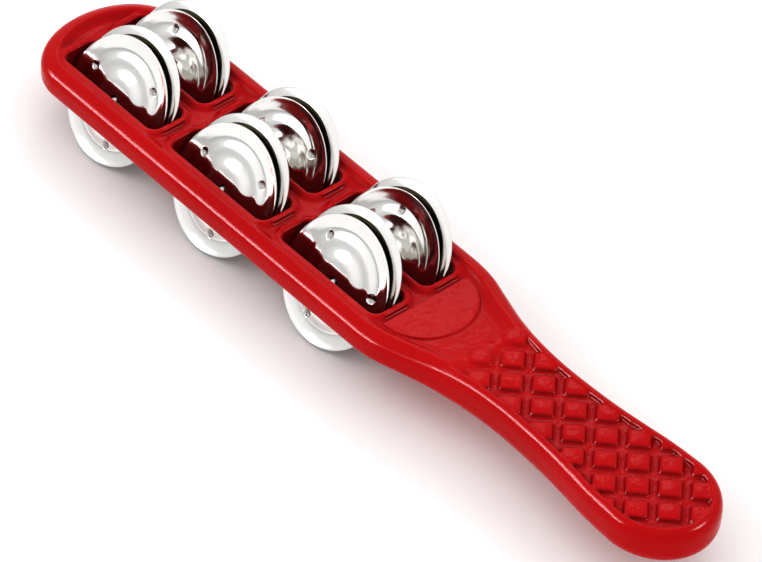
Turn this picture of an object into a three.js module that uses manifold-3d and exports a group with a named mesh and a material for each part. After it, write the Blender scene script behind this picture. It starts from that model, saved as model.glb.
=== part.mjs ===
// Hand-held jingle stick: a flat two-shell plastic frame with six windows in two rows of three,
// a steel pin across every window and a pair of stamped metal jingles on every pin.
// Millimetres. +X runs from the head to the butt of the handle, +Y across the rows, +Z up.
import * as THREE from 'three';
import { mergeVertices } from 'three/addons/utils/BufferGeometryUtils.js';
import Module from 'manifold-3d';

const wasm = await Module();
wasm.setup();

// ---- driving dimensions ---------------------------------------------------------------------

// Overall frame
const LENGTH = 279;
const SHELL_GAP = 0.1;
const WELD = 0.01;

// Edge of the frame as pairs of inset and height: a low side wall, a shoulder and a sloping top round
// the head, and a fuller bead along the handle, with a gradual change between the two at the neck
const HEAD_EDGE = [
  [0, SHELL_GAP / 2],
  [0, 2.4],
  [0.35, 3.4],
  [1.2, 4.0],
  [5.2, 5.95],
  [6.6, 6.35],
];
const HANDLE_EDGE = [
  [0, SHELL_GAP / 2],
  [0, 3.3],
  [0.25, 4.2],
  [0.7, 4.9],
  [1.8, 5.95],
  [2.7, 6.35],
];
const EDGE_CHANGE_START_X = 30;
const EDGE_CHANGE_END_X = 62;
const ABOVE = 7.4;

// Plan outline, measured from the tip of the head
const HEAD_HALF_WIDTH = 24.4;
const NOSE_LENGTH = 18.7;
const BUTT_HALF_WIDTH = 18.0;
const BUTT_LENGTH = 20;
const NECK_PROFILE = [
  [152, 24.4],
  [158, 24.3],
  [165, 23.4],
  [173, 21.0],
  [184, 17.6],
  [195, 15.3],
  [206, 14.4],
  [217, 14.5],
  [228, 15.1],
  [238, 16.2],
  [248, 17.4],
  [259, 18.0],
];

// Jingle positions
const COLUMN_X = [-104.8, -54.4, -4.0];
const ROW_Y = 9.65;

// Windows and the raised lip round each one
const WINDOW_HALF_LENGTH = 21.6;
const WINDOW_HALF_WIDTH = 6.45;
const WINDOW_CORNER = 3.0;
const LIP_WIDTH = 1.9;
const LIP_TOP = 4.5;

// Sunken deck that carries the windows
const DECK_FLOOR = 3.4;
const RIM_WIDTH = 6.9;
const RIM_WIDTH_ABOVE = 3.4;
const DECK_END_X = 21.0;
const DECK_END_REACH = 17.0;
const DECK_END_REACH_ABOVE = 40.0;

// Plain half-oval plate on the deck, next to the handle
const PLATE_TOP = 4.2;
const PLATE_START_X = 21.2;
const PLATE_REACH = 15.8;
const PLATE_HALF_WIDTH = 16.4;

// Grip: a sunken floor with square pads set on the diagonal
const GRIP_FLOOR = 4.3;
const GRIP_START_X = 50;
const GRIP_START_X_ABOVE = 45;
const GRIP_RIM = 4.3;
const GRIP_RIM_ABOVE = 2.1;
const PAD_TOP = 5.5;
const PAD_SIDE = 6.7;
const PAD_STEP = 6.6;
const PAD_FIRST_X = 49.2;
const PAD_BEVEL = 0.6;
const PAD_CORNER = 0.8;
const PAD_SINK = 0.8;

// Pins
const PIN_RADIUS = 1.0;
const PIN_CLEARANCE = 0.1;
const PIN_INNER_Y = 0.9;
const PIN_OUTER_Y = 19.2;
const PIN_SEGMENTS = 20;

// Jingles: stamped sheet with a stepped dome, a trough round it and a flange that flares to the rim
const JINGLE_RADIUS = 20;
const JINGLE_HOLE = 1.6;
const SHEET = 0.6;
const JINGLE_LEAN = THREE.MathUtils.degToRad(30);
const PAIR_HALF_SPACING = 3.35;
const JINGLE_SEGMENTS = 30;
const JINGLE_PROFILE = [
  [JINGLE_HOLE, 1.15],
  [6.0, 1.05],
  [10.4, 0.15],
  [12.4, 0.0],
  [15.4, -0.85],
  [17.8, -0.55],
  [JINGLE_RADIUS, 0.0],
];

// ---- materials --------------------------------------------------------------------------------

const redPlastic = () => new THREE.MeshStandardMaterial({ color: 0xb80d14, roughness: 0.25, metalness: 0 });
const pinSteel = () => new THREE.MeshStandardMaterial({ color: 0xb5b7ba, roughness: 0.3, metalness: 1 });
const nickel = () => new THREE.MeshStandardMaterial({ color: 0xd4d2cd, roughness: 0.12, metalness: 1 });

// ---- solid helpers ------------------------------------------------------------------------------

function toSolid(geometry) {
  const bare = geometry.clone();
  bare.deleteAttribute('normal');
  bare.deleteAttribute('uv');
  const welded = mergeVertices(bare, 1e-4);
  return new wasm.Manifold(new wasm.Mesh({
    numProp: 3,
    vertProperties: new Float32Array(welded.attributes.position.array),
    triVerts: new Uint32Array(welded.index.array),
  }));
}

function toGeometry(solid) {
  const mesh = solid.getMesh();
  const geometry = new THREE.BufferGeometry();
  geometry.setAttribute('position', new THREE.BufferAttribute(new Float32Array(mesh.vertProperties), 3));
  geometry.setIndex(new THREE.BufferAttribute(new Uint32Array(mesh.triVerts), 1));
  geometry.computeVertexNormals();
  return geometry;
}

function addPart(group, name, geometry, material) {
  const mesh = new THREE.Mesh(geometry, material);
  mesh.name = name;
  group.add(mesh);
}

// Solid that passes through rings of equal point counts, each given as { points, z }, from the bottom up.
// The height z is one number for the ring or a function of the point.
function layeredSolid(rings) {
  const count = rings[0].points.length;
  const heightAt = (z, p) => (typeof z === 'function' ? z(p) : z);
  const positions = rings.flatMap(({ points, z }) => points.flatMap((p) => [p.x, p.y, heightAt(z, p)]));
  const triangles = [];
  for (let k = 0; k < rings.length - 1; k += 1) {
    for (let i = 0; i < count; i += 1) {
      const next = (i + 1) % count;
      const a = k * count + i;
      const b = k * count + next;
      triangles.push(a, b, b + count, a, b + count, a + count);
    }
  }
  const bottom = THREE.ShapeUtils.triangulateShape(rings[0].points, []);
  bottom.forEach(([a, b, c]) => triangles.push(c, b, a));
  const top = THREE.ShapeUtils.triangulateShape(rings[rings.length - 1].points, []);
  const last = (rings.length - 1) * count;
  top.forEach(([a, b, c]) => triangles.push(a + last, b + last, c + last));
  const geometry = new THREE.BufferGeometry();
  geometry.setAttribute('position', new THREE.BufferAttribute(new Float32Array(positions), 3));
  geometry.setIndex(triangles);
  return toSolid(geometry);
}

// Straight-sided block standing on z = low and ending at z = high.
function block(points, low, high) {
  const geometry = new THREE.ExtrudeGeometry(new THREE.Shape(points), {
    depth: high - low,
    bevelEnabled: false,
    steps: 1,
  });
  geometry.translate(0, 0, low);
  return toSolid(geometry);
}

// Block whose upper and lower edges are rounded or chamfered inwards by the bevel.
function bevelledBlock(points, low, high, bevel, segments) {
  const geometry = new THREE.ExtrudeGeometry(new THREE.Shape(points), {
    depth: high - low - 2 * bevel,
    bevelEnabled: true,
    bevelSize: bevel,
    bevelThickness: bevel,
    bevelOffset: -bevel,
    bevelSegments: segments,
    steps: 1,
  });
  geometry.translate(0, 0, low + bevel);
  return toSolid(geometry);
}

// ---- plan curves ---------------------------------------------------------------------------------

// Points along the +Y edge of the frame, from the tip of the head to the tip of the butt.
function edgePoints() {
  const points = [];
  const noseSteps = 9;
  for (let i = 0; i <= noseSteps; i += 1) {
    const angle = (i / noseSteps) * (Math.PI / 2);
    points.push([NOSE_LENGTH * (1 - Math.cos(angle)), HEAD_HALF_WIDTH * Math.sin(angle)]);
  }
  const neck = new THREE.SplineCurve(NECK_PROFILE.map(([x, y]) => new THREE.Vector2(x, y)));
  for (const p of neck.getPoints(18)) {
    points.push([p.x, p.y]);
  }
  const buttSteps = 9;
  for (let i = 1; i <= buttSteps; i += 1) {
    const angle = (i / buttSteps) * (Math.PI / 2);
    points.push([LENGTH - BUTT_LENGTH + BUTT_LENGTH * Math.sin(angle), BUTT_HALF_WIDTH * Math.cos(angle)]);
  }
  return points.map(([x, y]) => [x - LENGTH / 2, y]);
}

// Closed outline of the frame moved inwards by a distance, or by a function of the place along X.
function frameOutline(inset) {
  const insetAt = (x) => (typeof inset === 'function' ? inset(x) : inset);
  const upper = edgePoints();
  const lower = upper.slice(1, -1).reverse().map(([x, y]) => [x, -y]);
  const loop = [...upper, ...lower].reverse();
  return loop.map((point, i) => {
    const before = loop[(i + loop.length - 1) % loop.length];
    const after = loop[(i + 1) % loop.length];
    const tangent = new THREE.Vector2(after[0] - before[0], after[1] - before[1]).normalize();
    const depth = insetAt(point[0]);
    return new THREE.Vector2(point[0] - tangent.y * depth, point[1] + tangent.x * depth);
  });
}

function roundedRectangle(cx, cy, halfX, halfY, corner, steps = 3) {
  const points = [];
  const corners = [[1, 1], [-1, 1], [-1, -1], [1, -1]];
  corners.forEach(([sx, sy], quarter) => {
    for (let i = 0; i <= steps; i += 1) {
      const angle = (quarter + i / steps) * (Math.PI / 2);
      points.push(new THREE.Vector2(
        cx + sx * (halfX - corner) + corner * Math.cos(angle),
        cy + sy * (halfY - corner) + corner * Math.sin(angle),
      ));
    }
  });
  return points;
}

// Half oval that opens towards the handle; extra carries it back towards the head.
function halfOval(startX, reach, halfWidth, extra) {
  const points = [new THREE.Vector2(startX - extra, -halfWidth)];
  const steps = 20;
  for (let i = 0; i <= steps; i += 1) {
    const angle = (i / steps - 0.5) * Math.PI;
    points.push(new THREE.Vector2(startX + reach * Math.cos(angle), halfWidth * Math.sin(angle)));
  }
  points.push(new THREE.Vector2(startX - extra, halfWidth));
  return points;
}

// ---- frame shells ----------------------------------------------------------------------------------

function forEachWindow(action) {
  for (const side of [-1, 1]) {
    COLUMN_X.forEach((x, column) => action(x, side * ROW_Y, side, column));
  }
}

// Deck recess with sloping walls: the head outline inside the rim, closed towards the handle by a half oval.
function deckRecess() {
  const head = layeredSolid([
    { points: frameOutline(RIM_WIDTH), z: DECK_FLOOR },
    { points: frameOutline(RIM_WIDTH_ABOVE), z: ABOVE },
  ]);
  const widen = RIM_WIDTH - RIM_WIDTH_ABOVE;
  const halfWidth = HEAD_HALF_WIDTH - RIM_WIDTH;
  const end = layeredSolid([
    { points: halfOval(DECK_END_X, DECK_END_REACH, halfWidth, LENGTH), z: DECK_FLOOR },
    { points: halfOval(DECK_END_X, DECK_END_REACH_ABOVE, halfWidth + widen, LENGTH), z: ABOVE },
  ]);
  return head.intersect(end);
}

function windowOutline(x, y, grow) {
  return roundedRectangle(x, y, WINDOW_HALF_LENGTH + grow, WINDOW_HALF_WIDTH + grow, WINDOW_CORNER + grow);
}

function windowLip(x, y) {
  return bevelledBlock(
    windowOutline(x, y, LIP_WIDTH),
    DECK_FLOOR - 1.5,
    LIP_TOP,
    0.5,
    1,
  );
}

// Square pads turned by 45 degrees, in a lattice along the whole handle.
function gripPads() {
  let pads = null;
  const half = PAD_SIDE / 2;
  const square = roundedRectangle(0, 0, half, half, PAD_CORNER, 1);
  const columns = Math.ceil((LENGTH / 2 - PAD_FIRST_X) / PAD_STEP);
  for (let i = 0; i < columns; i += 1) {
    for (let j = -2; j <= 2; j += 1) {
      if ((i + j) % 2 !== 0) {
        continue;
      }
      const centre = new THREE.Vector2(PAD_FIRST_X + i * PAD_STEP, (j - 0.5) * PAD_STEP);
      const points = square.map((p) => p.clone().rotateAround(new THREE.Vector2(), Math.PI / 4).add(centre));
      const pad = bevelledBlock(points, GRIP_FLOOR - 1.5, PAD_TOP, PAD_BEVEL, 1);
      pads = pads ? pads.add(pad) : pad;
    }
  }
  return pads;
}

// Grip recess with sloping walls, from the neck to just short of the butt.
function gripRecess() {
  const handle = layeredSolid([
    { points: frameOutline(GRIP_RIM), z: GRIP_FLOOR },
    { points: frameOutline(GRIP_RIM_ABOVE), z: ABOVE },
  ]);
  const behind = (startX) => {
    const half = (LENGTH / 2 - startX) / 2;
    return roundedRectangle(startX + half, 0, half, HEAD_HALF_WIDTH, 4);
  };
  const start = layeredSolid([
    { points: behind(GRIP_START_X), z: GRIP_FLOOR },
    { points: behind(GRIP_START_X_ABOVE), z: ABOVE },
  ]);
  return handle.intersect(start);
}

function pinGrooves() {
  let grooves = null;
  forEachWindow((x, y, side) => {
    const length = PIN_OUTER_Y - PIN_INNER_Y + 2 * PIN_CLEARANCE;
    const radius = PIN_RADIUS + PIN_CLEARANCE;
    const geometry = new THREE.CylinderGeometry(radius, radius, length, PIN_SEGMENTS);
    geometry.translate(x, side * (PIN_OUTER_Y + PIN_INNER_Y) / 2, 0);
    const groove = toSolid(geometry);
    grooves = grooves ? grooves.add(groove) : groove;
  });
  return grooves;
}

// The two edge profiles as rings, the head's changing into the handle's along the neck.
function edgeRings() {
  const share = (x) => THREE.MathUtils.smoothstep(x, EDGE_CHANGE_START_X, EDGE_CHANGE_END_X);
  return HEAD_EDGE.map(([headInset, headZ], k) => {
    const [handleInset, handleZ] = HANDLE_EDGE[k];
    return {
      points: frameOutline((x) => THREE.MathUtils.lerp(headInset, handleInset, share(x))),
      z: (p) => THREE.MathUtils.lerp(headZ, handleZ, share(p.x)),
    };
  });
}

function upperShell() {
  let shell = layeredSolid(edgeRings());
  shell = shell.subtract(deckRecess());
  forEachWindow((x, y) => {
    shell = shell.add(windowLip(x, y));
  });
  const plate = bevelledBlock(
    halfOval(PLATE_START_X, PLATE_REACH, PLATE_HALF_WIDTH, 0),
    DECK_FLOOR - 1.5,
    PLATE_TOP,
    0.4,
    1,
  );
  shell = shell.add(plate);
  forEachWindow((x, y) => {
    const hole = windowOutline(x, y, 0);
    shell = shell.subtract(block(hole, -1, ABOVE));
  });
  const recess = gripRecess();
  shell = shell.subtract(recess).add(gripPads().intersect(recess.translate(0, 0, -PAD_SINK)));
  return shell.subtract(pinGrooves()).simplify(WELD);
}

// ---- pins and jingles ----------------------------------------------------------------------------------

function pinGeometry(x, side) {
  const length = PIN_OUTER_Y - PIN_INNER_Y;
  const geometry = new THREE.CylinderGeometry(PIN_RADIUS, PIN_RADIUS, length, PIN_SEGMENTS);
  geometry.translate(x, side * (PIN_OUTER_Y + PIN_INNER_Y) / 2, 0);
  return geometry;
}

// Jingle with its dome towards +Y when facing is 1 and towards -Y when facing is -1. The middle of
// the hole rim is at the origin before the jingle is leaned over and moved to its place on the pin.
function jingleGeometry(x, y, facing) {
  const domeHeight = JINGLE_PROFILE[0][1];
  const outside = JINGLE_PROFILE.map(([r, s]) => new THREE.Vector2(r, s - domeHeight + SHEET / 2));
  const inside = JINGLE_PROFILE.map(([r, s]) => new THREE.Vector2(r, s - domeHeight - SHEET / 2));
  const loop = [...inside, ...outside.reverse(), inside[0].clone()];
  const geometry = new THREE.LatheGeometry(loop, JINGLE_SEGMENTS);
  if (facing < 0) {
    geometry.rotateX(Math.PI);
  }
  geometry.rotateX(-JINGLE_LEAN);
  geometry.translate(x, y, 0);
  return geometry;
}

// ---- assembly --------------------------------------------------------------------------------------------

function jingleStick() {
  const group = new THREE.Group();
  group.name = 'jingle_stick';

  const upper = toGeometry(upperShell());
  const lower = upper.clone();
  lower.rotateX(Math.PI);
  addPart(group, 'frame_upper_shell', upper, redPlastic());
  addPart(group, 'frame_lower_shell', lower, redPlastic());

  forEachWindow((x, y, side, column) => {
    const place = `${side < 0 ? 'left' : 'right'}_${column + 1}`;
    addPart(group, `pin_${place}`, pinGeometry(x, side), pinSteel());
    addPart(group, `jingle_${place}_a`, jingleGeometry(x, y - PAIR_HALF_SPACING, -1), nickel());
    addPart(group, `jingle_${place}_b`, jingleGeometry(x, y + PAIR_HALF_SPACING, 1), nickel());
  });
  return group;
}

export default jingleStick();
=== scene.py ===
"""Jingle stick: a red moulded frame with six windows, a wire pin across each window and a pair of
nickel-plated jingles on every pin. Shapes are worked out in millimetres and written in metres."""
import math

import bmesh
import bpy
import numpy as np
from mathutils import Matrix, Vector


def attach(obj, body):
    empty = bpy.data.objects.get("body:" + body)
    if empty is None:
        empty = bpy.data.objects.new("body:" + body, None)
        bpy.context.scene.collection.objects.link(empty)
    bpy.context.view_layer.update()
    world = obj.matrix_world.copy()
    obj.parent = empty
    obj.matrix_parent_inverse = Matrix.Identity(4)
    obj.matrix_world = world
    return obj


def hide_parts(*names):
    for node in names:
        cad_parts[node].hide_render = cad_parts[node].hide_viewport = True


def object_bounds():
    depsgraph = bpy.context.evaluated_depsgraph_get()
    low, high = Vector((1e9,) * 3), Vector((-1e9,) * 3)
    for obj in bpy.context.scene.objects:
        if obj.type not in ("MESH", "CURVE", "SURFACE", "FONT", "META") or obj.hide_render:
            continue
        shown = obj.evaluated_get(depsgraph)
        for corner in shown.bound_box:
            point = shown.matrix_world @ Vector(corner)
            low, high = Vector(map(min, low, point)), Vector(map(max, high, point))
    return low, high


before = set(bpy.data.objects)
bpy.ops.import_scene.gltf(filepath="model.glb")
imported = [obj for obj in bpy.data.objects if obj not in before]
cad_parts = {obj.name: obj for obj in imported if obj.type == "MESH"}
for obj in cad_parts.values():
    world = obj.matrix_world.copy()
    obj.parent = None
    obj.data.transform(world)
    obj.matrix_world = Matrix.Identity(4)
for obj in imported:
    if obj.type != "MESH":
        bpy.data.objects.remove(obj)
cad_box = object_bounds()

MM = 0.001

# ---- sizes shared with the CAD -------------------------------------------------------------------

LENGTH = 279.0
HEAD_HALF_WIDTH = 24.4
NOSE_LENGTH = 18.7
BUTT_HALF_WIDTH = 18.0
BUTT_LENGTH = 20.0
NECK_PROFILE = (
    (152, 24.4), (158, 24.3), (165, 23.4), (173, 21.0), (184, 17.6), (195, 15.3),
    (206, 14.4), (217, 14.5), (228, 15.1), (238, 16.2), (248, 17.4), (259, 18.0),
)
TOP_HEIGHT = 6.35
EDGE_CHANGE_START_X = 30.0
EDGE_CHANGE_END_X = 62.0
COLUMN_X = (-104.8, -54.4, -4.0)
ROW_Y = 9.65
WINDOW_HALF_LENGTH = 21.6
WINDOW_HALF_WIDTH = 6.45
WINDOW_CORNER = 3.0
LIP_WIDTH = 1.9
LIP_TOP = 4.5
DECK_FLOOR = 3.4
RIM_WIDTH = 6.9
DECK_END_X = 21.0
DECK_END_REACH = 17.0
PLATE_TOP = 4.2
PLATE_START_X = 21.2
PLATE_REACH = 15.8
PLATE_HALF_WIDTH = 16.4
GRIP_FLOOR = 4.3
GRIP_START_X = 50.0
PAD_STEP = 6.6
PAD_FIRST_X = 49.2
PIN_RADIUS = 1.0
PIN_INNER_Y = 0.9
PIN_OUTER_Y = 19.2
JINGLE_RADIUS = 20.0
JINGLE_HOLE = 1.6
SHEET = 0.6
JINGLE_LEAN = math.radians(30)
PAIR_HALF_SPACING = 3.35
JINGLE_PROFILE = (
    (1.6, 1.15), (6.0, 1.05), (10.4, 0.15), (12.4, 0.0), (15.4, -0.85), (17.8, -0.55), (20.0, 0.0),
)

# ---- sizes of the visual model only --------------------------------------------------------------

# Side wall's height at the outline, and how steeply the top rises inwards from it
HEAD_SHOULDER_HEIGHT = 3.3
HEAD_TOP_SLOPE = 0.4875
HANDLE_SHOULDER_HEIGHT = 4.2
HANDLE_TOP_SLOPE = 0.95
SHOULDER_ROUND = 1.9
TOP_ROUND = 2.0

# Deck recess: run of its walls for each millimetre of rise, and the rounding of its corners
DECK_SIDE_RUN = 0.875
DECK_END_RUN = 5.75
DECK_SIDE_ROUND = 1.6
DECK_END_ROUND = 2.0
DECK_BRIM_ROUND = 1.3
DECK_END_EXTRA_WIDTH = 3.0
LIP_ROUND = 1.6
WINDOW_EDGE_ROUND = 0.7
PLATE_START_ROUND = 0.4
PLATE_EDGE_ROUND = 0.25
PLATE_FOOT_ROUND = 0.2

# Ridges on the lips at both ends of every window
RIDGE_OUT = 2.1
RIDGE_TOP = 5.05
RIDGE_HALF_LENGTH = 4.5
RIDGE_RISE = 0.35
RIDGE_EDGE_ROUND = 0.8
RIDGE_END_ROUND = 0.9
RIDGE_FOOT_ROUND = 0.3

# Grip recess, which ramps down from the neck, and its crowned pads
GRIP_RIM = 4.0
GRIP_SIDE_RUN = 0.4
GRIP_START_RUN = 1.6
GRIP_RAMP = 14.0
GRIP_RAMP_LIMIT = 1.2
GRIP_RISE = 0.55
GRIP_BRIM_ROUND = 1.2
GRIP_FLOOR_ROUND = 0.45
GRIP_START_ROUND = 2.0
PAD_TOP = 5.4
PAD_CROWN = 0.26
PAD_SIDE = 7.15
PAD_CORNER = 0.9
PAD_SIDE_RUN = 0.25
PAD_EDGE_ROUND = 0.8
PAD_FOOT_ROUND = 0.5
PAD_CUT_ROUND = 1.0
PAD_UNDER_RIM = 2.0
PAD_BEFORE_GRIP = 4.0

# Inside this radius the back of a jingle's sheet is dull and has painted shade: it is made almost black
# where the two jingles of a pair face each other
DULL_SHADED_RADIUS = 17.4
# Slope of the sheet at a jingle's rim, and the radius of its rolled edge
RIM_FLARE = 0.28
RIM_BEND = 0.3
# Small dimples punched into the outer face of each jingle
PIP_COUNT = 3
PIP_CIRCLE = 14.0
PIP_RADIUS = 1.4
PIP_DEPTH = 0.8
# Degrees that each jingle has turned on its pin: row, column, then jingle a and jingle b of the pair
JINGLE_TURN = {
    "left": ((12, 75), (8, 41), (-18, 66)),
    "right": ((80, 23), (13, 100), (69, 5)),
}

# Grids that the outline and the surface are found on, and how far the second one goes past the frame
PLAN_CELL = 0.5
FRAME_CELL = 0.45
GRID_SIDE_MARGIN = 1.5
GRID_TOP_MARGIN = 1.0
GRID_BELOW_CUT = 1.3
SETTLE_ROUNDS = 4

# ---- colours -------------------------------------------------------------------------------------

RED = ((0.46, 0.0022, 0.0045), (0.52, 0.003, 0.0055))
# Painted shade: the dark red that the frame's colour is darkened towards in corners, grooves and
# recesses
RED_PAINTED_CREVICE_SHADE = (0.13, 0.0006, 0.0012)
NICKEL = ((0.88, 0.87, 0.855), (0.81, 0.80, 0.78))
# Painted shade: the dark brown that the polished nickel is darkened towards in dimples, creases and
# other hollows
NICKEL_PAINTED_CREVICE_SHADE = (0.10, 0.085, 0.07)
# Painted shade: almost black nickel, and its tint at grazing angles, for the sides of each pair's
# jingles that face each other
INNER_NICKEL_PAINTED_SHADE = ((0.035, 0.03, 0.018), (0.075, 0.065, 0.04))
INNER_NICKEL_SHADE_EDGE_TINT = (0.25, 0.22, 0.15, 1)
STEEL = ((0.58, 0.57, 0.55), (0.68, 0.67, 0.65))
FLOOR = ((0.95, 0.95, 0.95), (0.97, 0.97, 0.97))


# ---- signed distances for the frame --------------------------------------------------------------

def smooth_max(a, b, k):
    """The larger of two fields, with the crease between them rounded over the width k."""
    h = np.maximum(k - np.abs(a - b), 0.0) / k
    return np.maximum(a, b) + h * h * k * 0.25


def smooth_min(a, b, k):
    """The smaller of two fields, with the crease between them rounded over the width k."""
    h = np.maximum(k - np.abs(a - b), 0.0) / k
    return np.minimum(a, b) - h * h * k * 0.25


def slanted(distance, rise, run):
    """Distance to a wall that moves out by run for each millimetre of rise."""
    return (distance - run * rise) / math.hypot(1, run)


def catmull_rom(points, steps):
    """Smooth curve through the points, with the given number of steps between two of them."""
    pts = [np.array(p, float) for p in points]
    pts = [pts[0]] + pts + [pts[-1]]
    out = []
    for i in range(1, len(pts) - 2):
        a, b, c, d = pts[i - 1:i + 3]
        for t in np.linspace(0, 1, steps, endpoint=False):
            out.append(0.5 * (2 * b + (c - a) * t + (2 * a - 5 * b + 4 * c - d) * t ** 2
                              + (3 * b - a - 3 * c + d) * t ** 3))
    out.append(pts[-1])
    return out


def outline():
    """Closed plan outline of the frame, centred on the origin."""
    quarter = np.linspace(0, math.pi / 2, 40)
    upper = [(NOSE_LENGTH * (1 - math.cos(a)), HEAD_HALF_WIDTH * math.sin(a)) for a in quarter]
    upper += [tuple(point) for point in catmull_rom(NECK_PROFILE, 14)]
    butt_start = LENGTH - BUTT_LENGTH
    upper += [
        (butt_start + BUTT_LENGTH * math.sin(a), BUTT_HALF_WIDTH * math.cos(a)) for a in quarter[1:]
    ]
    upper = np.array(upper)
    upper[:, 0] -= LENGTH / 2
    lower = upper[::-1][1:-1] * (1, -1)
    return np.vstack([upper, lower])


def polygon_distance(px, py, loop):
    """Signed distance to a closed polygon, negative inside, for flat arrays of points."""
    best = np.full(px.shape, 1e9)
    inside = np.zeros(px.shape, bool)
    nxt = np.roll(loop, -1, axis=0)
    for (ax, ay), (bx, by) in zip(loop, nxt):
        ex, ey = bx - ax, by - ay
        t = np.clip(((px - ax) * ex + (py - ay) * ey) / (ex * ex + ey * ey), 0, 1)
        dx, dy = px - ax - t * ex, py - ay - t * ey
        np.minimum(best, dx * dx + dy * dy, out=best)
        if ay != by:
            crosses = ((ay > py) != (by > py)) & (px < (bx - ax) * (py - ay) / (by - ay) + ax)
            inside ^= crosses
    distance = np.sqrt(best)
    return np.where(inside, -distance, distance)


class PlanField:
    """Distance to the outline, kept on a grid and read back with a smooth cubic."""

    MARGIN = 6.0

    def __init__(self, loop, step):
        self.step = step
        self.x0 = -LENGTH / 2 - self.MARGIN
        self.y0 = -HEAD_HALF_WIDTH - self.MARGIN
        self.nx = int((LENGTH + 2 * self.MARGIN) / step) + 2
        self.ny = int((2 * HEAD_HALF_WIDTH + 2 * self.MARGIN) / step) + 2
        gx = self.x0 + np.arange(self.nx) * step
        gy = self.y0 + np.arange(self.ny) * step
        px, py = np.meshgrid(gx, gy, indexing="ij")
        self.values = polygon_distance(px.ravel(), py.ravel(), loop).reshape(self.nx, self.ny)

    def __call__(self, x, y):
        u = (x - self.x0) / self.step
        v = (y - self.y0) / self.step
        i = np.clip(np.floor(u).astype(int), 1, self.nx - 3)
        j = np.clip(np.floor(v).astype(int), 1, self.ny - 3)
        s, t = u - i, v - j

        def weights(f):
            return (
                -0.5 * f + f * f - 0.5 * f ** 3,
                1 - 2.5 * f * f + 1.5 * f ** 3,
                0.5 * f + 2 * f * f - 1.5 * f ** 3,
                -0.5 * f * f + 0.5 * f ** 3,
            )

        ws, wt = weights(s), weights(t)
        total = 0.0
        for a in range(4):
            row = 0.0
            for b in range(4):
                row = row + wt[b] * self.values[i + a - 1, j + b - 1]
            total = total + ws[a] * row
        return total


plan = PlanField(outline(), PLAN_CELL)


def rounded_box(x, y, cx, cy, hx, hy, corner):
    """Distance to a rectangle with round corners, given its centre and half sizes."""
    qx = np.abs(x - cx) - (hx - corner)
    qy = np.abs(y - cy) - (hy - corner)
    outside = np.hypot(np.maximum(qx, 0), np.maximum(qy, 0))
    return outside + np.minimum(np.maximum(qx, qy), 0) - corner


def half_oval(x, y, start_x, reach, half_width):
    """Distance-like field of a half oval that opens towards the handle."""
    dx = np.maximum(x - start_x, 0)
    radius = np.sqrt((dx / reach) ** 2 + (y / half_width) ** 2)
    slope = np.sqrt((dx / reach ** 2) ** 2 + (y / half_width ** 2) ** 2) / np.maximum(radius, 1e-6)
    return (radius - 1) / np.maximum(slope, 1e-3)


WINDOW_CENTRES = [(cx, side * ROW_Y) for side in (-1, 1) for cx in COLUMN_X]


def window_distance(x, y):
    """Distance to the nearest window."""
    return np.minimum.reduce([
        rounded_box(x, y, cx, cy, WINDOW_HALF_LENGTH, WINDOW_HALF_WIDTH, WINDOW_CORNER)
        for cx, cy in WINDOW_CENTRES
    ])


def window_end_ridge(x, y, z):
    """Straight ridges with a crisp outer edge on the lips, at both ends of every window."""
    ridges = []
    for cx, cy in WINDOW_CENTRES:
        out = np.abs(x - cx) - WINDOW_HALF_LENGTH - RIDGE_OUT
        across = np.abs(y - cy) - RIDGE_HALF_LENGTH
        top = z - RIDGE_TOP - RIDGE_RISE * out
        ridges.append(smooth_max(smooth_max(out, top, RIDGE_EDGE_ROUND), across, RIDGE_END_ROUND))
    return np.minimum.reduce(ridges)


def pad_field(x, y):
    """Distance to the nearest square pad of the diagonal lattice, and to that pad's centre."""
    u = (x - PAD_FIRST_X) / PAD_STEP
    v = (y + PAD_STEP / 2) / PAD_STEP
    p = (u + v) / 2
    q = (u - v) / 2
    pitch = PAD_STEP * math.sqrt(2)
    a = (p - np.round(p)) * pitch
    b = (q - np.round(q)) * pitch
    return rounded_box(a, b, 0, 0, PAD_SIDE / 2, PAD_SIDE / 2, PAD_CORNER), np.hypot(a, b)


def edge_profile(h, d, x):
    """Side wall, shoulder and rounded top of the frame, fuller along the handle than round the head."""
    share = np.clip((x - EDGE_CHANGE_START_X) / (EDGE_CHANGE_END_X - EDGE_CHANGE_START_X), 0, 1)
    share = share * share * (3 - 2 * share)
    shoulder = HEAD_SHOULDER_HEIGHT + share * (HANDLE_SHOULDER_HEIGHT - HEAD_SHOULDER_HEIGHT)
    slope = HEAD_TOP_SLOPE + share * (HANDLE_TOP_SLOPE - HEAD_TOP_SLOPE)
    top = (h - shoulder + slope * d) / np.hypot(1, slope)
    return smooth_max(smooth_max(d, top, SHOULDER_ROUND), h - TOP_HEIGHT, TOP_ROUND)


def deck_recess(x, y, h, d):
    """Sunken deck with sloping walls, ending in a half oval at the neck."""
    rise = h - DECK_FLOOR
    end_half_width = HEAD_HALF_WIDTH - RIM_WIDTH + DECK_END_EXTRA_WIDTH
    side = slanted(d + RIM_WIDTH, rise, DECK_SIDE_RUN)
    end = slanted(half_oval(x, y, DECK_END_X, DECK_END_REACH, end_half_width), rise, DECK_END_RUN)
    return smooth_max(smooth_max(-rise, side, DECK_SIDE_ROUND), end, DECK_END_ROUND)


def half_oval_plate(x, y, h):
    oval = half_oval(x, y, PLATE_START_X, PLATE_REACH, PLATE_HALF_WIDTH)
    edge = smooth_max(oval, PLATE_START_X - x, PLATE_START_ROUND)
    return smooth_max(edge, h - PLATE_TOP, PLATE_EDGE_ROUND)


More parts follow.
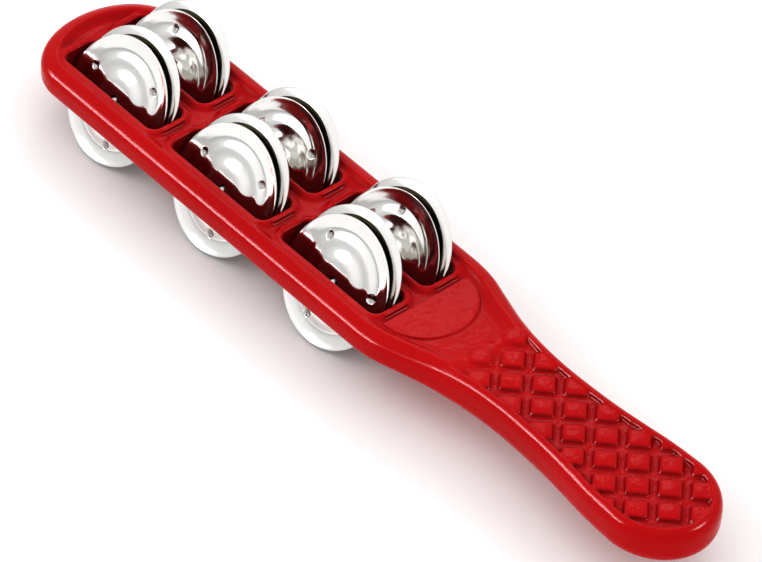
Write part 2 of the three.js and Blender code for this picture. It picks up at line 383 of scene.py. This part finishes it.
def grip_recess(x, h, d):
    """Sunken grip whose floor comes up towards the neck."""
    side = slanted(d + GRIP_RIM, h - GRIP_FLOOR, GRIP_SIDE_RUN)
    start = slanted(GRIP_START_X - x, h - GRIP_FLOOR, GRIP_START_RUN)
    ramp = np.clip((GRIP_START_X + GRIP_RAMP - x) / GRIP_RAMP, 0, GRIP_RAMP_LIMIT) ** 2 * GRIP_RISE
    floor = smooth_max(GRIP_FLOOR + ramp - h, side, GRIP_FLOOR_ROUND)
    return smooth_max(floor, start, GRIP_START_ROUND)


def grip_pads(x, y, h, d):
    """Crowned pads, cut off inside the rim and just before the grip begins."""
    edge, from_centre = pad_field(x, y)
    edge = edge + PAD_SIDE_RUN * (h - GRIP_FLOOR)
    crown = PAD_CROWN * (1 - (2 * from_centre / PAD_SIDE) ** 2)
    pads = smooth_max(edge, h - PAD_TOP - crown, PAD_EDGE_ROUND)
    limit = smooth_max(d + GRIP_RIM - PAD_UNDER_RIM, GRIP_START_X - PAD_BEFORE_GRIP - x, PAD_CUT_ROUND)
    return smooth_max(pads, limit, PAD_CUT_ROUND)


def frame_field(x, y, z):
    """Signed distance-like field of the whole moulded frame, in millimetres."""
    h = np.abs(z)
    d = plan(x, y)
    w = window_distance(x, y)
    field = smooth_max(edge_profile(h, d, x), -deck_recess(x, y, h, d), DECK_BRIM_ROUND)
    lip = smooth_max(w - LIP_WIDTH, h - LIP_TOP, LIP_ROUND)
    field = smooth_min(field, lip, LIP_ROUND)
    field = smooth_min(field, window_end_ridge(x, y, h), RIDGE_FOOT_ROUND)
    field = smooth_min(field, half_oval_plate(x, y, h), PLATE_FOOT_ROUND)
    field = smooth_max(field, -w, WINDOW_EDGE_ROUND)
    field = smooth_max(field, -grip_recess(x, h, d), GRIP_BRIM_ROUND)
    return smooth_min(field, grip_pads(x, y, h, d), PAD_FOOT_ROUND)


# ---- surface from a field ------------------------------------------------------------------------

CORNERS = np.array([(i, j, k) for i in (0, 1) for j in (0, 1) for k in (0, 1)])
CELL_EDGES = [
    (a, b) for a in range(8) for b in range(a + 1, 8)
    if np.abs(CORNERS[a] - CORNERS[b]).sum() == 1
]


def surface_net(field, low, high, step):
    """Quad mesh of the zero level of a field, one vertex in each crossed cell."""
    axes = [np.arange(lo, hi + step, step) for lo, hi in zip(low, high)]
    shape = tuple(len(a) for a in axes)
    values = np.empty(shape)
    gy, gz = np.meshgrid(axes[1], axes[2], indexing="ij")
    for i, x in enumerate(axes[0]):
        values[i] = field(np.full(gy.shape, x), gy, gz)
    inside = values < 0
    corner_count = sum(
        inside[i:shape[0] - 1 + i, j:shape[1] - 1 + j, k:shape[2] - 1 + k].astype(np.int8)
        for i, j, k in CORNERS
    )
    cells = np.argwhere((corner_count > 0) & (corner_count < 8))
    index = np.full(tuple(n - 1 for n in shape), -1, np.int64)
    index[tuple(cells.T)] = np.arange(len(cells))
    at = [values[tuple((cells + c).T)] for c in CORNERS]
    total = np.zeros((len(cells), 3))
    hits = np.zeros(len(cells))
    for a, b in CELL_EDGES:
        crossed = (at[a] < 0) != (at[b] < 0)
        t = np.where(crossed, at[a] / np.where(crossed, at[a] - at[b], 1), 0)
        point = CORNERS[a] + t[:, None] * (CORNERS[b] - CORNERS[a])
        total += np.where(crossed[:, None], point, 0)
        hits += crossed
    verts = np.array(low) + (cells + total / hits[:, None]) * step

    faces = []
    for axis in range(3):
        u, v = (axis + 1) % 3, (axis + 2) % 3
        lower = np.take(inside, range(shape[axis] - 1), axis)
        upper = np.take(inside, range(1, shape[axis]), axis)
        edges = np.argwhere(lower != upper)
        edges = edges[(edges[:, u] > 0) & (edges[:, v] > 0)
                      & (edges[:, u] < shape[u] - 1) & (edges[:, v] < shape[v] - 1)]
        starts_inside = inside[tuple(edges.T)]
        du, dv = np.zeros(3, int), np.zeros(3, int)
        du[u], dv[v] = 1, 1
        ring = [edges - du - dv, edges - dv, edges, edges - du]
        quad = np.stack([index[tuple(r.T)] for r in ring], axis=1)
        quad[~starts_inside] = quad[~starts_inside][:, ::-1]
        faces.append(quad)
    return verts, np.vstack(faces)


def settle(field, verts, rounds):
    """Moves vertices along the gradient onto the field's zero level."""
    h = 0.03
    limit = 0.25
    for _ in range(rounds):
        x, y, z = verts.T
        f = field(x, y, z)
        grad = np.stack([
            field(x + h, y, z) - field(x - h, y, z),
            field(x, y + h, z) - field(x, y - h, z),
            field(x, y, z + h) - field(x, y, z - h),
        ], axis=1) / (2 * h)
        length2 = np.maximum((grad ** 2).sum(1), 0.05)
        move = -(f / length2)[:, None] * grad
        size = np.linalg.norm(move, axis=1, keepdims=True)
        verts = verts + move * np.minimum(1, limit / np.maximum(size, 1e-9))
    return verts


# ---- objects -------------------------------------------------------------------------------------

def mesh_object(name, verts, faces, material, smooth_angle=None):
    """Smooth-shaded object from points in millimetres; edges sharper than the angle stay sharp."""
    mesh = bpy.data.meshes.new(name)
    mesh.from_pydata([tuple(v) for v in np.asarray(verts) * MM], [], [tuple(f) for f in faces])
    mesh.validate()
    mesh.materials.append(material)
    mesh.shade_smooth()
    if smooth_angle is not None:
        mesh.set_sharp_from_angle(angle=math.radians(smooth_angle))
    obj = bpy.data.objects.new(name, mesh)
    bpy.context.scene.collection.objects.link(obj)
    return obj


def new_material(name):
    """Empty material with a principled shader: the material, its nodes, its links and the shader."""
    material = bpy.data.materials.new(name)
    material.use_nodes = True
    nodes = material.node_tree.nodes
    nodes.clear()
    output = nodes.new("ShaderNodeOutputMaterial")
    shader = nodes.new("ShaderNodeBsdfPrincipled")
    material.node_tree.links.new(shader.outputs[0], output.inputs["Surface"])
    return material, nodes, material.node_tree.links, shader


def noise(nodes, links, source, scale, detail=4.0, rough=0.5):
    node = nodes.new("ShaderNodeTexNoise")
    node.inputs["Scale"].default_value = scale
    node.inputs["Detail"].default_value = detail
    node.inputs["Roughness"].default_value = rough
    links.new(source, node.inputs["Vector"])
    return node.outputs["Fac"]


def spread(nodes, links, source, low, high, from_low=0.3, from_high=0.7):
    """Maps a value from one range to another; noise mostly lies between 0.3 and 0.7."""
    node = nodes.new("ShaderNodeMapRange")
    node.inputs["From Min"].default_value = from_low
    node.inputs["From Max"].default_value = from_high
    node.inputs["To Min"].default_value = low
    node.inputs["To Max"].default_value = high
    links.new(source, node.inputs["Value"])
    return node.outputs["Result"]


def mottle(nodes, links, factor, colours):
    """Mix of two colours by a noise value."""
    node = nodes.new("ShaderNodeMix")
    node.data_type = "RGBA"
    links.new(spread(nodes, links, factor, 0, 1), node.inputs["Factor"])
    node.inputs["A"].default_value = (*colours[0], 1)
    node.inputs["B"].default_value = (*colours[1], 1)
    return node.outputs["Result"]


def bump(nodes, links, height, distance, strength, below=None):
    """Normal of a bumpy surface, laid over another bump where one is given.

    The strength is a number or the output of another node.
    """
    node = nodes.new("ShaderNodeBump")
    node.inputs["Distance"].default_value = distance
    if isinstance(strength, bpy.types.NodeSocket):
        links.new(strength, node.inputs["Strength"])
    else:
        node.inputs["Strength"].default_value = strength
    links.new(height, node.inputs["Height"])
    if below is not None:
        links.new(below, node.inputs["Normal"])
    return node.outputs["Normal"]


def crevices(nodes, reach):
    """Ambient occlusion, used as the mask for painted shade: 1 on open surfaces, falling in corners and
    grooves narrower than the reach in metres.
    """
    node = nodes.new("ShaderNodeAmbientOcclusion")
    node.samples = 6
    node.inputs["Distance"].default_value = reach
    return node.outputs["AO"]


def shade_by(nodes, links, colour, factor, dark):
    """Painted shade: the colour where factor is 1, going to the dark colour where it is 0."""
    node = nodes.new("ShaderNodeMix")
    node.data_type = "RGBA"
    links.new(factor, node.inputs["Factor"])
    node.inputs["A"].default_value = (*dark, 1)
    links.new(colour, node.inputs["B"])
    return node.outputs["Result"]


def red_plastic():
    material, nodes, links, shader = new_material("red_moulded_plastic")
    coordinates = nodes.new("ShaderNodeTexCoord")
    where = coordinates.outputs["Object"]
    colour = mottle(nodes, links, noise(nodes, links, where, 28, 3), RED)
    # Painted shade: near other surfaces (ambient occlusion over 9 mm) the red is darkened towards a
    # near-black red; the same mask also lowers the gloss there
    open_faces = spread(nodes, links, crevices(nodes, 0.009), 0, 1, 0.46, 1.0)
    colour = shade_by(nodes, links, colour, open_faces, RED_PAINTED_CREVICE_SHADE)
    links.new(colour, shader.inputs["Base Color"])
    smears = noise(nodes, links, where, 90, 5, 0.6)
    links.new(spread(nodes, links, smears, 0.14, 0.2), shader.inputs["Roughness"])
    gloss = spread(nodes, links, open_faces, 0.05, 0.085, 0, 1)
    links.new(gloss, shader.inputs["Specular IOR Level"])
    shader.inputs["Subsurface Weight"].default_value = 0.08
    shader.inputs["Subsurface Radius"].default_value = (1.0, 0.12, 0.08)
    shader.inputs["Subsurface Scale"].default_value = 0.002
    flow = bump(nodes, links, noise(nodes, links, where, 60, 2), 0.0004, 0.035)
    # Flat faces are less even than the rounded edges
    facing = nodes.new("ShaderNodeSeparateXYZ")
    links.new(coordinates.outputs["Normal"], facing.inputs[0])
    flatness = nodes.new("ShaderNodeMath")
    flatness.operation = "ABSOLUTE"
    links.new(facing.outputs["Z"], flatness.inputs[0])
    unevenness = spread(nodes, links, flatness.outputs[0], 0, 0.65, 0.98, 0.997)
    dents = bump(nodes, links, noise(nodes, links, where, 330, 2), 0.0006, unevenness, flow)
    grain = bump(nodes, links, noise(nodes, links, where, 1600, 3), 0.00002, 0.25, dents)
    links.new(grain, shader.inputs["Normal"])
    return material


def nickel():
    material, nodes, links, shader = new_material("polished_nickel")
    where = nodes.new("ShaderNodeTexCoord").outputs["Object"]
    colour = mottle(nodes, links, noise(nodes, links, where, 70, 5, 0.6), NICKEL)
    # Painted shade: in hollows narrower than 2 mm, such as the dimples and the creases of the dome, the
    # nickel is darkened towards a dark brown
    open_faces = spread(nodes, links, crevices(nodes, 0.002), 0, 1, 0.68, 0.98)
    colour = shade_by(nodes, links, colour, open_faces, NICKEL_PAINTED_CREVICE_SHADE)
    links.new(colour, shader.inputs["Base Color"])
    shader.inputs["Metallic"].default_value = 1.0
    smears = noise(nodes, links, where, 260, 6, 0.65)
    links.new(spread(nodes, links, smears, 0.07, 0.13), shader.inputs["Roughness"])
    waves = bump(nodes, links, noise(nodes, links, where, 120, 2), 0.0003, 0.12)
    scuffs = bump(nodes, links, noise(nodes, links, where, 2200, 4, 0.7), 0.00001, 0.3, waves)
    links.new(scuffs, shader.inputs["Normal"])
    return material


def dull_shaded_nickel():
    """Inside of the jingles: the same sheet, unpolished, with painted shade that makes its colour almost
    black.
    """
    material, nodes, links, shader = new_material("dull_shaded_nickel")
    where = nodes.new("ShaderNodeTexCoord").outputs["Object"]
    blotches = noise(nodes, links, where, 150, 5, 0.6)
    # Painted shade: an almost black colour for the facing sides of a pair
    links.new(mottle(nodes, links, blotches, INNER_NICKEL_PAINTED_SHADE), shader.inputs["Base Color"])
    shader.inputs["Specular Tint"].default_value = INNER_NICKEL_SHADE_EDGE_TINT
    shader.inputs["Metallic"].default_value = 1.0
    links.new(spread(nodes, links, blotches, 0.2, 0.34), shader.inputs["Roughness"])
    grain = bump(nodes, links, noise(nodes, links, where, 900, 4), 0.00002, 0.3)
    links.new(grain, shader.inputs["Normal"])
    return material


def pin_steel():
    """Drawn wire, with streaks that run along the pin."""
    material, nodes, links, shader = new_material("drawn_steel_wire")
    stretch = nodes.new("ShaderNodeMapping")
    stretch.inputs["Scale"].default_value = (1, 0.06, 1)
    links.new(nodes.new("ShaderNodeTexCoord").outputs["Object"], stretch.inputs["Vector"])
    streaks = noise(nodes, links, stretch.outputs["Vector"], 2500, 3)
    links.new(mottle(nodes, links, streaks, STEEL), shader.inputs["Base Color"])
    shader.inputs["Metallic"].default_value = 1.0
    links.new(spread(nodes, links, streaks, 0.22, 0.38), shader.inputs["Roughness"])
    links.new(bump(nodes, links, streaks, 0.00002, 0.4), shader.inputs["Normal"])
    return material


def pale_floor():
    material, nodes, links, shader = new_material("pale_floor")
    where = nodes.new("ShaderNodeTexCoord").outputs["Object"]
    links.new(mottle(nodes, links, noise(nodes, links, where, 6, 3), FLOOR), shader.inputs["Base Color"])
    shader.inputs["Roughness"].default_value = 0.9
    return material


# ---- frame shells --------------------------------------------------------------------------------

def shell_mesh():
    """Upper half of the frame: the field's surface cut off and closed at the joint plane."""
    step = FRAME_CELL
    half_length, half_width = LENGTH / 2 + GRID_SIDE_MARGIN, HEAD_HALF_WIDTH + GRID_SIDE_MARGIN
    low = (-half_length, -half_width, -GRID_BELOW_CUT)
    high = (half_length, half_width, TOP_HEIGHT + GRID_TOP_MARGIN)
    verts, faces = surface_net(frame_field, low, high, step)
    verts = settle(frame_field, verts, SETTLE_ROUNDS)
    bm = bmesh.new()
    made = [bm.verts.new(v) for v in verts]
    for face in faces:
        bm.faces.new([made[i] for i in face])
    everything = bm.verts[:] + bm.edges[:] + bm.faces[:]
    bmesh.ops.bisect_plane(
        bm, geom=everything, plane_co=(0, 0, 0), plane_no=(0, 0, 1), clear_inner=True)
    rim = [e for e in bm.edges if e.is_boundary]
    bmesh.ops.triangle_fill(bm, edges=rim, use_beauty=True, normal=(0, 0, -1))
    bm.verts.index_update()
    points = np.array([v.co[:] for v in bm.verts])
    polygons = [tuple(v.index for v in f.verts) for f in bm.faces]
    bm.free()
    return points, polygons


def claim(obj, node, body):
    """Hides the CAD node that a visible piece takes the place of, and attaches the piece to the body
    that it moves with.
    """
    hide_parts(node)
    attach(obj, body)


def add_frame():
    """Both shells, the lower one being the upper one turned over. Returns their collection."""
    plastic = red_plastic()
    points, faces = shell_mesh()
    upper = mesh_object("frame_upper_moulding", points, faces, plastic, 60)
    lower = mesh_object("frame_lower_moulding", points * (1, -1, -1), faces, plastic, 60)
    claim(upper, "frame_upper_shell", "frame")
    claim(lower, "frame_lower_shell", "frame")
    moulded_pieces = bpy.data.collections.new("moulded_pieces")
    moulded_pieces.objects.link(upper)
    moulded_pieces.objects.link(lower)
    return moulded_pieces


# ---- pins ----------------------------------------------------------------------------------------

def lathe(profile, segments):
    """Solid of revolution about +Y from (radius, y) pairs whose ends lie on the axis."""
    verts = [(0.0, profile[0][1], 0.0)]
    rings = profile[1:-1]
    for r, y in rings:
        for s in range(segments):
            a = 2 * math.pi * s / segments
            verts.append((r * math.sin(a), y, r * math.cos(a)))
    verts.append((0.0, profile[-1][1], 0.0))
    faces = []
    for s in range(segments):
        n = (s + 1) % segments
        faces.append((0, 1 + n, 1 + s))
        for k in range(len(rings) - 1):
            a, b = 1 + k * segments, 1 + (k + 1) * segments
            faces.append((a + s, a + n, b + n, b + s))
        last = 1 + (len(rings) - 1) * segments
        faces.append((last + s, last + n, len(verts) - 1))
    return np.array(verts), faces


def pin_profile():
    """Outline of a pin with rounded ends, as (radius, y) pairs from one end to the other."""
    half = (PIN_OUTER_Y - PIN_INNER_Y) / 2
    edge = 0.35
    corner = 0.1
    return [
        (0, -half), (PIN_RADIUS - edge, -half), (PIN_RADIUS - corner, -half + corner),
        (PIN_RADIUS, -half + edge), (PIN_RADIUS, half - edge),
        (PIN_RADIUS - corner, half - corner), (PIN_RADIUS - edge, half), (0, half),
    ]


# ---- jingles -------------------------------------------------------------------------------------

def jingle_height(r):
    """Height of the sheet's middle above the rim's plane, a smooth curve through the profile."""
    knots = np.array(JINGLE_PROFILE)
    kx, ky = knots[:, 0], knots[:, 1]
    slope = np.zeros(len(kx))
    for i in range(1, len(kx) - 1):
        left = (ky[i] - ky[i - 1]) / (kx[i] - kx[i - 1])
        right = (ky[i + 1] - ky[i]) / (kx[i + 1] - kx[i])
        slope[i] = 0.0 if left * right <= 0 else 2 * left * right / (left + right)
    slope[-1] = RIM_FLARE
    i = np.clip(np.searchsorted(kx, r) - 1, 0, len(kx) - 2)
    span = kx[i + 1] - kx[i]
    t = np.clip((r - kx[i]) / span, 0, 1)
    return (
        (1 + 2 * t) * (1 - t) ** 2 * ky[i] + t * (1 - t) ** 2 * span * slope[i]
        + t * t * (3 - 2 * t) * ky[i + 1] + t * t * (t - 1) * span * slope[i + 1]
    )


def jingle_angles():
    """Angles round a jingle, closer together where the dimples are."""
    sector = 360.0 / PIP_COUNT
    beside = 8.0
    angles = []
    for pip in range(PIP_COUNT):
        start = pip * sector
        angles += list(start + np.linspace(-beside, beside, 17))
        angles += list(start + np.linspace(beside, sector - beside, 26)[1:-1])
    return np.radians(angles)


def sheet_height(x, z, r):
    """Height of the sheet's middle at points of one ring, with the dimples pushed in."""
    height = jingle_height(np.full_like(x, r))
    for pip in range(PIP_COUNT):
        angle = 2 * math.pi * pip / PIP_COUNT
        offset_x = x - PIP_CIRCLE * math.sin(angle)
        offset_z = z - PIP_CIRCLE * math.cos(angle)
        d = np.hypot(offset_x, offset_z) / PIP_RADIUS
        height = height - PIP_DEPTH * np.clip(1 - d * d, 0, 1)
    return height


def jingle_mesh():
    """One jingle with its dome towards +Y and the middle of its hole at the origin.

    Returns its points, its faces and the numbers of the faces that are dull and carry the painted shade.
    """
    angles = jingle_angles()
    # Rings are closest together across the dimples
    radii = np.concatenate([
        np.linspace(JINGLE_HOLE, 12.3, 22),
        np.linspace(12.6, 15.8, 13),
        np.linspace(16.3, JINGLE_RADIUS - RIM_BEND, 8),
    ])
    rings = []

    def add_ring(r, height):
        rings.append(np.stack([r * np.sin(angles), height, r * np.cos(angles)], axis=1))

    def add_sheet_ring(r, side):
        height = sheet_height(r * np.sin(angles), r * np.cos(angles), r)
        add_ring(r, height + side * SHEET / 2)

    for r in radii:
        add_sheet_ring(r, 1)
    for t in (0.9, 0.3, -0.3, -0.9):
        bend_height = np.full_like(angles, RIM_BEND * math.sin(t))
        add_ring(JINGLE_RADIUS - RIM_BEND + RIM_BEND * math.cos(t), bend_height)
    first_under = len(rings)
    for r in radii[::-1]:
        add_sheet_ring(r, -1)

    points = np.array(rings)
    points[:, :, 1] -= JINGLE_PROFILE[0][1]
    n_rings, n_angles = points.shape[:2]
    faces = []
    for k in range(n_rings):
        a, b = k * n_angles, ((k + 1) % n_rings) * n_angles
        for i in range(n_angles):
            n = (i + 1) % n_angles
            faces.append((a + i, b + i, b + n, a + n))
    # The back of the sheet inside the radius above gets the dull material with painted shade
    first_dull_shaded = first_under + int(np.sum(radii > DULL_SHADED_RADIUS))
    dull_shaded = range(first_dull_shaded * n_angles, (n_rings - 1) * n_angles)
    return points.reshape(-1, 3), faces, dull_shaded


def jingle_pose(row, column, which, facing):
    """Rotation of one jingle: turned on its pin, faced to its side of the pair, then leant over."""
    turned = Matrix.Rotation(math.radians(JINGLE_TURN[row][column][which]), 3, "Y")
    if facing < 0:
        turned = Matrix.Rotation(math.pi, 3, "X") @ turned
    return Matrix.Rotation(-JINGLE_LEAN, 3, "X") @ turned


def add_pins_and_jingles():
    """A pin across every window and a pair of jingles on it."""
    polished, dull_shaded, wire = nickel(), dull_shaded_nickel(), pin_steel()
    pin_points, pin_faces = lathe(pin_profile(), 36)
    jingle_points, jingle_faces, dull_shaded_faces = jingle_mesh()
    for side, row in ((-1, "left"), (1, "right")):
        for column, x in enumerate(COLUMN_X):
            place = f"{row}_{column + 1}"
            centre = (x, side * (PIN_OUTER_Y + PIN_INNER_Y) / 2, 0)
            pin = mesh_object(f"pin_{place}_wire", pin_points + centre, pin_faces, wire, 40)
            claim(pin, f"pin_{place}", "frame")
            for which, (letter, facing) in enumerate((("a", -1), ("b", 1))):
                rotation = np.array(jingle_pose(row, column, which, facing))
                hole = (x, side * ROW_Y + facing * PAIR_HALF_SPACING, 0)
                node = f"jingle_{place}_{letter}"
                points = jingle_points @ rotation.T + hole
                jingle = mesh_object(f"{node}_stamping", points, jingle_faces, polished, 60)
                # Painted shade: the inner part of the back gets the dull, almost black material
                jingle.data.materials.append(dull_shaded)
                for face in dull_shaded_faces:
                    jingle.data.polygons[face].material_index = 1
                claim(jingle, node, node)


# ---- floor, lights and camera --------------------------------------------------------------------

FLOOR_GAP = 0.5
FLOOR_HALF_SIZE = 4000
CAMERA_AZIMUTH = math.radians(46.4)
CAMERA_ELEVATION = math.radians(42.9)
CAMERA_ROLL = math.radians(4.0)
CAMERA_DISTANCE = 1.6506
CAMERA_LENS = 268.5
AIM = Vector((0.0041, -0.0016, 0.0))

# Name, azimuth and elevation in degrees, width, height, power, and whether it only adds sheen to plastic
LIGHTS = (
    ("shoulder_sheen", -38, 31, 1.3, 0.48, 100, True),
    ("end_sheen", 125, 38, 0.5, 0.3, 24, True),
    ("front_softbox", -50, 35, 0.8, 0.8, 3, False),
    ("plate_sheen", -134, 43, 0.4, 0.4, 1.6, False),
)
LIGHT_DISTANCE = 1.6
SKY_AT_HORIZON = 0.6
SKY_OVERHEAD = 1.15
# Below 1, so that dark colours come out deeper
VIEW_GAMMA = 0.82


def add_floor(lowest):
    """Large pale floor just under the lowest point, whose height is given in metres."""
    corners = np.array([(-1, -1, 0), (1, -1, 0), (1, 1, 0), (-1, 1, 0)]) * FLOOR_HALF_SIZE
    floor = mesh_object("floor", corners, [(0, 1, 2, 3)], pale_floor())
    floor.location.z = lowest - FLOOR_GAP * MM


def direction(azimuth, elevation):
    """Unit vector from the object, with azimuth 0 on the -Y side and growing towards +X."""
    return Vector((
        math.sin(azimuth) * math.cos(elevation),
        -math.cos(azimuth) * math.cos(elevation),
        math.sin(elevation),
    ))


def place_camera():
    data = bpy.data.cameras.new("camera")
    data.lens = CAMERA_LENS
    data.sensor_width = 36
    data.clip_start, data.clip_end = 0.05, 50
    camera = bpy.data.objects.new("camera", data)
    bpy.context.scene.collection.objects.link(camera)
    back = direction(CAMERA_AZIMUTH, CAMERA_ELEVATION)
    right = Vector((0, 0, 1)).cross(back).normalized()
    up = back.cross(right)
    tilted_right = right * math.cos(CAMERA_ROLL) + up * math.sin(CAMERA_ROLL)
    tilted_up = back.cross(tilted_right)
    matrix = Matrix((tilted_right, tilted_up, back)).transposed().to_4x4()
    matrix.translation = AIM + back * CAMERA_DISTANCE
    camera.matrix_world = matrix
    bpy.context.scene.camera = camera


def area_light(name, azimuth, elevation, width, height, power):
    data = bpy.data.lights.new(name, "AREA")
    data.energy = power
    data.shape = "RECTANGLE"
    data.size = width
    data.size_y = height
    light = bpy.data.objects.new(name, data)
    bpy.context.scene.collection.objects.link(light)
    towards = direction(math.radians(azimuth), math.radians(elevation))
    light.location = towards * LIGHT_DISTANCE
    light.rotation_mode = "QUATERNION"
    light.rotation_quaternion = towards.to_track_quat("Z", "Y")
    return light


def add_lights(moulded_pieces):
    for name, azimuth, elevation, width, height, power, sheen_only in LIGHTS:
        light = area_light(name, azimuth, elevation, width, height, power)
        if sheen_only:
            light.visible_diffuse = False
            light.light_linking.receiver_collection = moulded_pieces


def surroundings():
    """Studio sky: grey at the horizon, white from 30 degrees up."""
    world = bpy.data.worlds.new("studio")
    bpy.context.scene.world = world
    world.use_nodes = True
    nodes, links = world.node_tree.nodes, world.node_tree.links
    background = nodes["Background"]
    background.inputs["Color"].default_value = (1, 1, 1, 1)
    split = nodes.new("ShaderNodeSeparateXYZ")
    links.new(nodes.new("ShaderNodeTexCoord").outputs["Generated"], split.inputs[0])
    ramp = nodes.new("ShaderNodeMapRange")
    ramp.inputs["From Min"].default_value = 0.0
    ramp.inputs["From Max"].default_value = 0.5
    ramp.inputs["To Min"].default_value = SKY_AT_HORIZON
    ramp.inputs["To Max"].default_value = SKY_OVERHEAD
    links.new(split.outputs["Z"], ramp.inputs["Value"])
    links.new(ramp.outputs["Result"], background.inputs["Strength"])


moulded_pieces = add_frame()
add_pins_and_jingles()
add_floor(cad_box[0][2])
place_camera()
surroundings()
add_lights(moulded_pieces)
bpy.context.scene.view_settings.view_transform = "Standard"
bpy.context.scene.view_settings.gamma = VIEW_GAMMA
